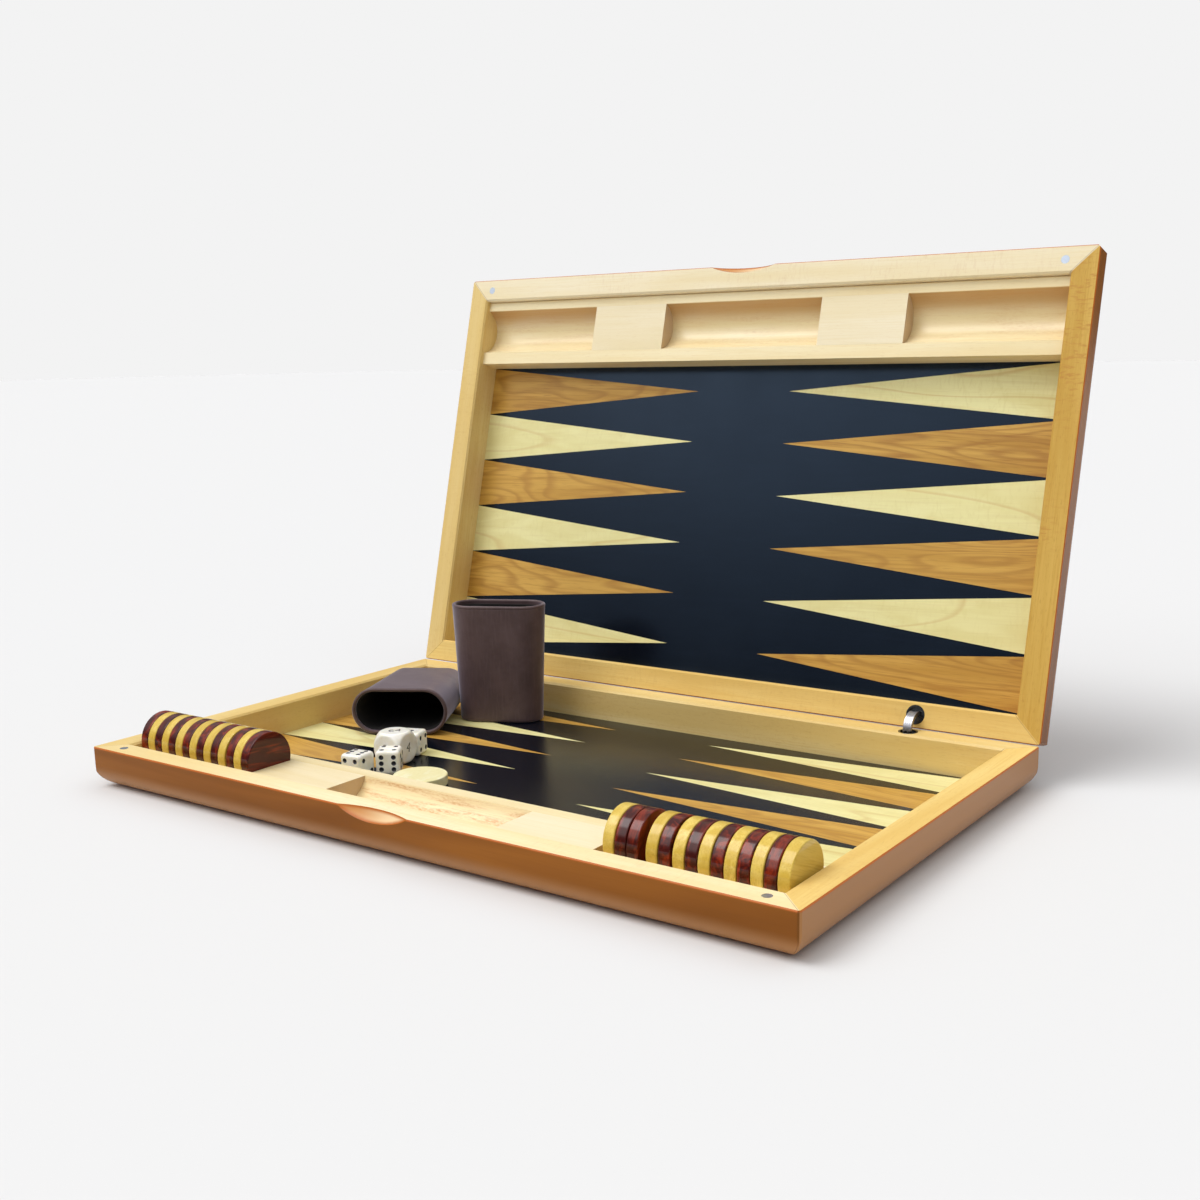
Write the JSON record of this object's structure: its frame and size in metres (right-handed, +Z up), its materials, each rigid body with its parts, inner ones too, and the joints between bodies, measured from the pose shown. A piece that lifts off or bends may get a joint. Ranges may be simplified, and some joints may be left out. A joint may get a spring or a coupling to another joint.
{
  "type": "backgammon case",
  "caption": "Folding wooden backgammon case: two hinged halves with inlaid points, checker troughs, magnets and concealed hinges, with checkers, dice, doubling cube and two leather dice cups.",
  "frame": {"origin": "middle of the tray's flat underside", "axes": "+X along the hinge, to the right of a player at the front; +Y from the front rail back to the hinge; +Z up, out of the tray"},
  "size_m": [0.48, 0.3886, 0.3099],
  "materials": {
    "beech_rail": "clear satin lacquer, outer faces stained orange-brown",
    "beech_panel": "satin lacquer, stained orange-brown outside",
    "beech_trough": "clear satin lacquer",
    "beech_filler": "clear satin lacquer",
    "black_veneer": "black satin lacquer",
    "cherry_inlay": "clear satin lacquer, streaked grain",
    "maple_inlay": "clear satin lacquer, faint figure",
    "magnet": "nickel-plated",
    "hinge_chrome": "polished",
    "leather": "smooth brown leather",
    "cup_lining": "black felt",
    "dice_ivory": "gloss, dark pips",
    "dark_checker": "gloss lacquer, red-brown",
    "light_checker": "gloss lacquer, honey yellow"
  },
  "bodies": {
    "tray": {"tray_front_rail": "beech_rail", "tray_back_rail": "beech_rail", "tray_left_rail": "beech_rail", "tray_right_rail": "beech_rail", "tray_panel": "beech_panel", "tray_field_veneer": "black_veneer", "tray_cherry_points": "cherry_inlay", "tray_maple_points": "maple_inlay", "tray_trough": "beech_trough", "tray_left_filler": "beech_filler", "tray_right_filler": "beech_filler", "tray_magnets": "magnet", "tray_hinge_barrels": "hinge_chrome"},
    "lid": {"lid_front_rail": "beech_rail", "lid_back_rail": "beech_rail", "lid_left_rail": "beech_rail", "lid_right_rail": "beech_rail", "lid_panel": "beech_panel", "lid_field_veneer": "black_veneer", "lid_cherry_points": "cherry_inlay", "lid_maple_points": "maple_inlay", "lid_trough": "beech_trough", "lid_left_filler": "beech_filler", "lid_right_filler": "beech_filler", "lid_magnets": "magnet", "lid_hinge_barrels": "hinge_chrome"},
    "hinge_links_lower": {"hinge_links_lower": "hinge_chrome"},
    "hinge_links_upper": {"hinge_links_upper": "hinge_chrome"},
    "standing_cup": {"standing_cup_wall": "leather", "standing_cup_sole": "leather", "standing_cup_lining": "cup_lining"},
    "lying_cup": {"lying_cup_wall": "leather", "lying_cup_sole": "leather", "lying_cup_lining": "cup_lining"},
    "dice": {"die_left": "dice_ivory", "die_front": "dice_ivory", "die_back": "dice_ivory", "doubling_cube": "dice_ivory"},
    "left_checkers": {"left_dark_checkers": "dark_checker", "left_light_checkers": "light_checker"},
    "right_checkers": {"right_dark_checkers": "dark_checker", "right_light_checkers": "light_checker"},
    "loose_checker": {"loose_checker": "light_checker"}
  },
  "joints": [
    {"name": "lid_hinge", "type": "hinge", "parent": "tray", "child": "lid", "pos_m": [0, 0.14715, 0.02515], "axis": [-1, 0, 0], "range_deg": [-104.4, 75.6], "deforming": ["standing_cup_wall", "standing_cup_sole", "standing_cup_lining"]},
    {"name": "hinge_links_lower_turn", "type": "hinge", "parent": "tray", "child": "hinge_links_lower", "pos_m": [0, 0.14715, 0.02515], "axis": [-1, 0, 0], "range_deg": [-35, 25.4]},
    {"name": "hinge_links_upper_turn", "type": "hinge", "parent": "tray", "child": "hinge_links_upper", "pos_m": [0, 0.14715, 0.02515], "axis": [-1, 0, 0], "range_deg": [-69.8, 50.6]},
    {"name": "standing_cup_lift", "type": "slide", "parent": "tray", "child": "standing_cup", "axis": [0, 0, 1], "range_m": [0, 0.12]},
    {"name": "lying_cup_lift", "type": "slide", "parent": "tray", "child": "lying_cup", "axis": [0, 0, 1], "range_m": [0, 0.08]},
    {"name": "dice_lift", "type": "slide", "parent": "tray", "child": "dice", "axis": [0, 0, 1], "range_m": [0, 0.05]},
    {"name": "left_checkers_lift", "type": "slide", "parent": "tray", "child": "left_checkers", "axis": [0, 0, 1], "range_m": [0, 0.05]},
    {"name": "right_checkers_lift", "type": "slide", "parent": "tray", "child": "right_checkers", "axis": [0, 0, 1], "range_m": [0, 0.05]},
    {"name": "loose_checker_lift", "type": "slide", "parent": "tray", "child": "loose_checker", "axis": [0, 0, 1], "range_m": [0, 0.03]}
  ],
  "couplings": [
    {"joint": "hinge_links_lower_turn", "follows": "lid_hinge", "ratio": 0.33333},
    {"joint": "hinge_links_upper_turn", "follows": "lid_hinge", "ratio": 0.66667}
  ]
}
